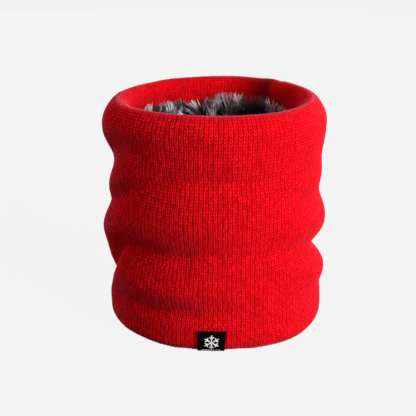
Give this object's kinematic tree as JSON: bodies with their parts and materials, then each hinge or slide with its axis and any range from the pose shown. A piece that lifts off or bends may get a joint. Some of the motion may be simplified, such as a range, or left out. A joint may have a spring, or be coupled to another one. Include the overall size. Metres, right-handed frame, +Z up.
{
  "type": "neck gaiter",
  "caption": "Knitted tube neck warmer, slumped in soft folds, with a thick rolled rim, a turned-in hem, a long-pile plush lining and a small woven label folded round the front of the hem.",
  "frame": {"origin": "centre of the gaiter's box on the plane that its hem stands on", "axes": "+Z up the tube from hem to rim, -Y to the front where the label is, +X to the right as seen from the front"},
  "size_m": [0.1814, 0.1552, 0.1888],
  "materials": {
    "red_knit": "matte acrylic knit",
    "red_thread": "twisted sewing thread",
    "lining_backing": "plain knitted backing",
    "lining_pile": "long soft pile with silver tips",
    "grey_thread": "twisted sewing thread",
    "label_tape": "satin woven tape",
    "black_thread": "twisted sewing thread"
  },
  "bodies": {
    "root": {"knit_tube": "red_knit", "knit_seam_thread": "red_thread", "top_join_thread": "red_thread", "bottom_join_thread": "red_thread", "lining_backing": "lining_backing", "lining_pile": "lining_pile", "lining_seam_thread": "grey_thread", "woven_label": "label_tape", "label_stitch_left": "black_thread", "label_stitch_right": "black_thread"}
  },
  "joints": []
}
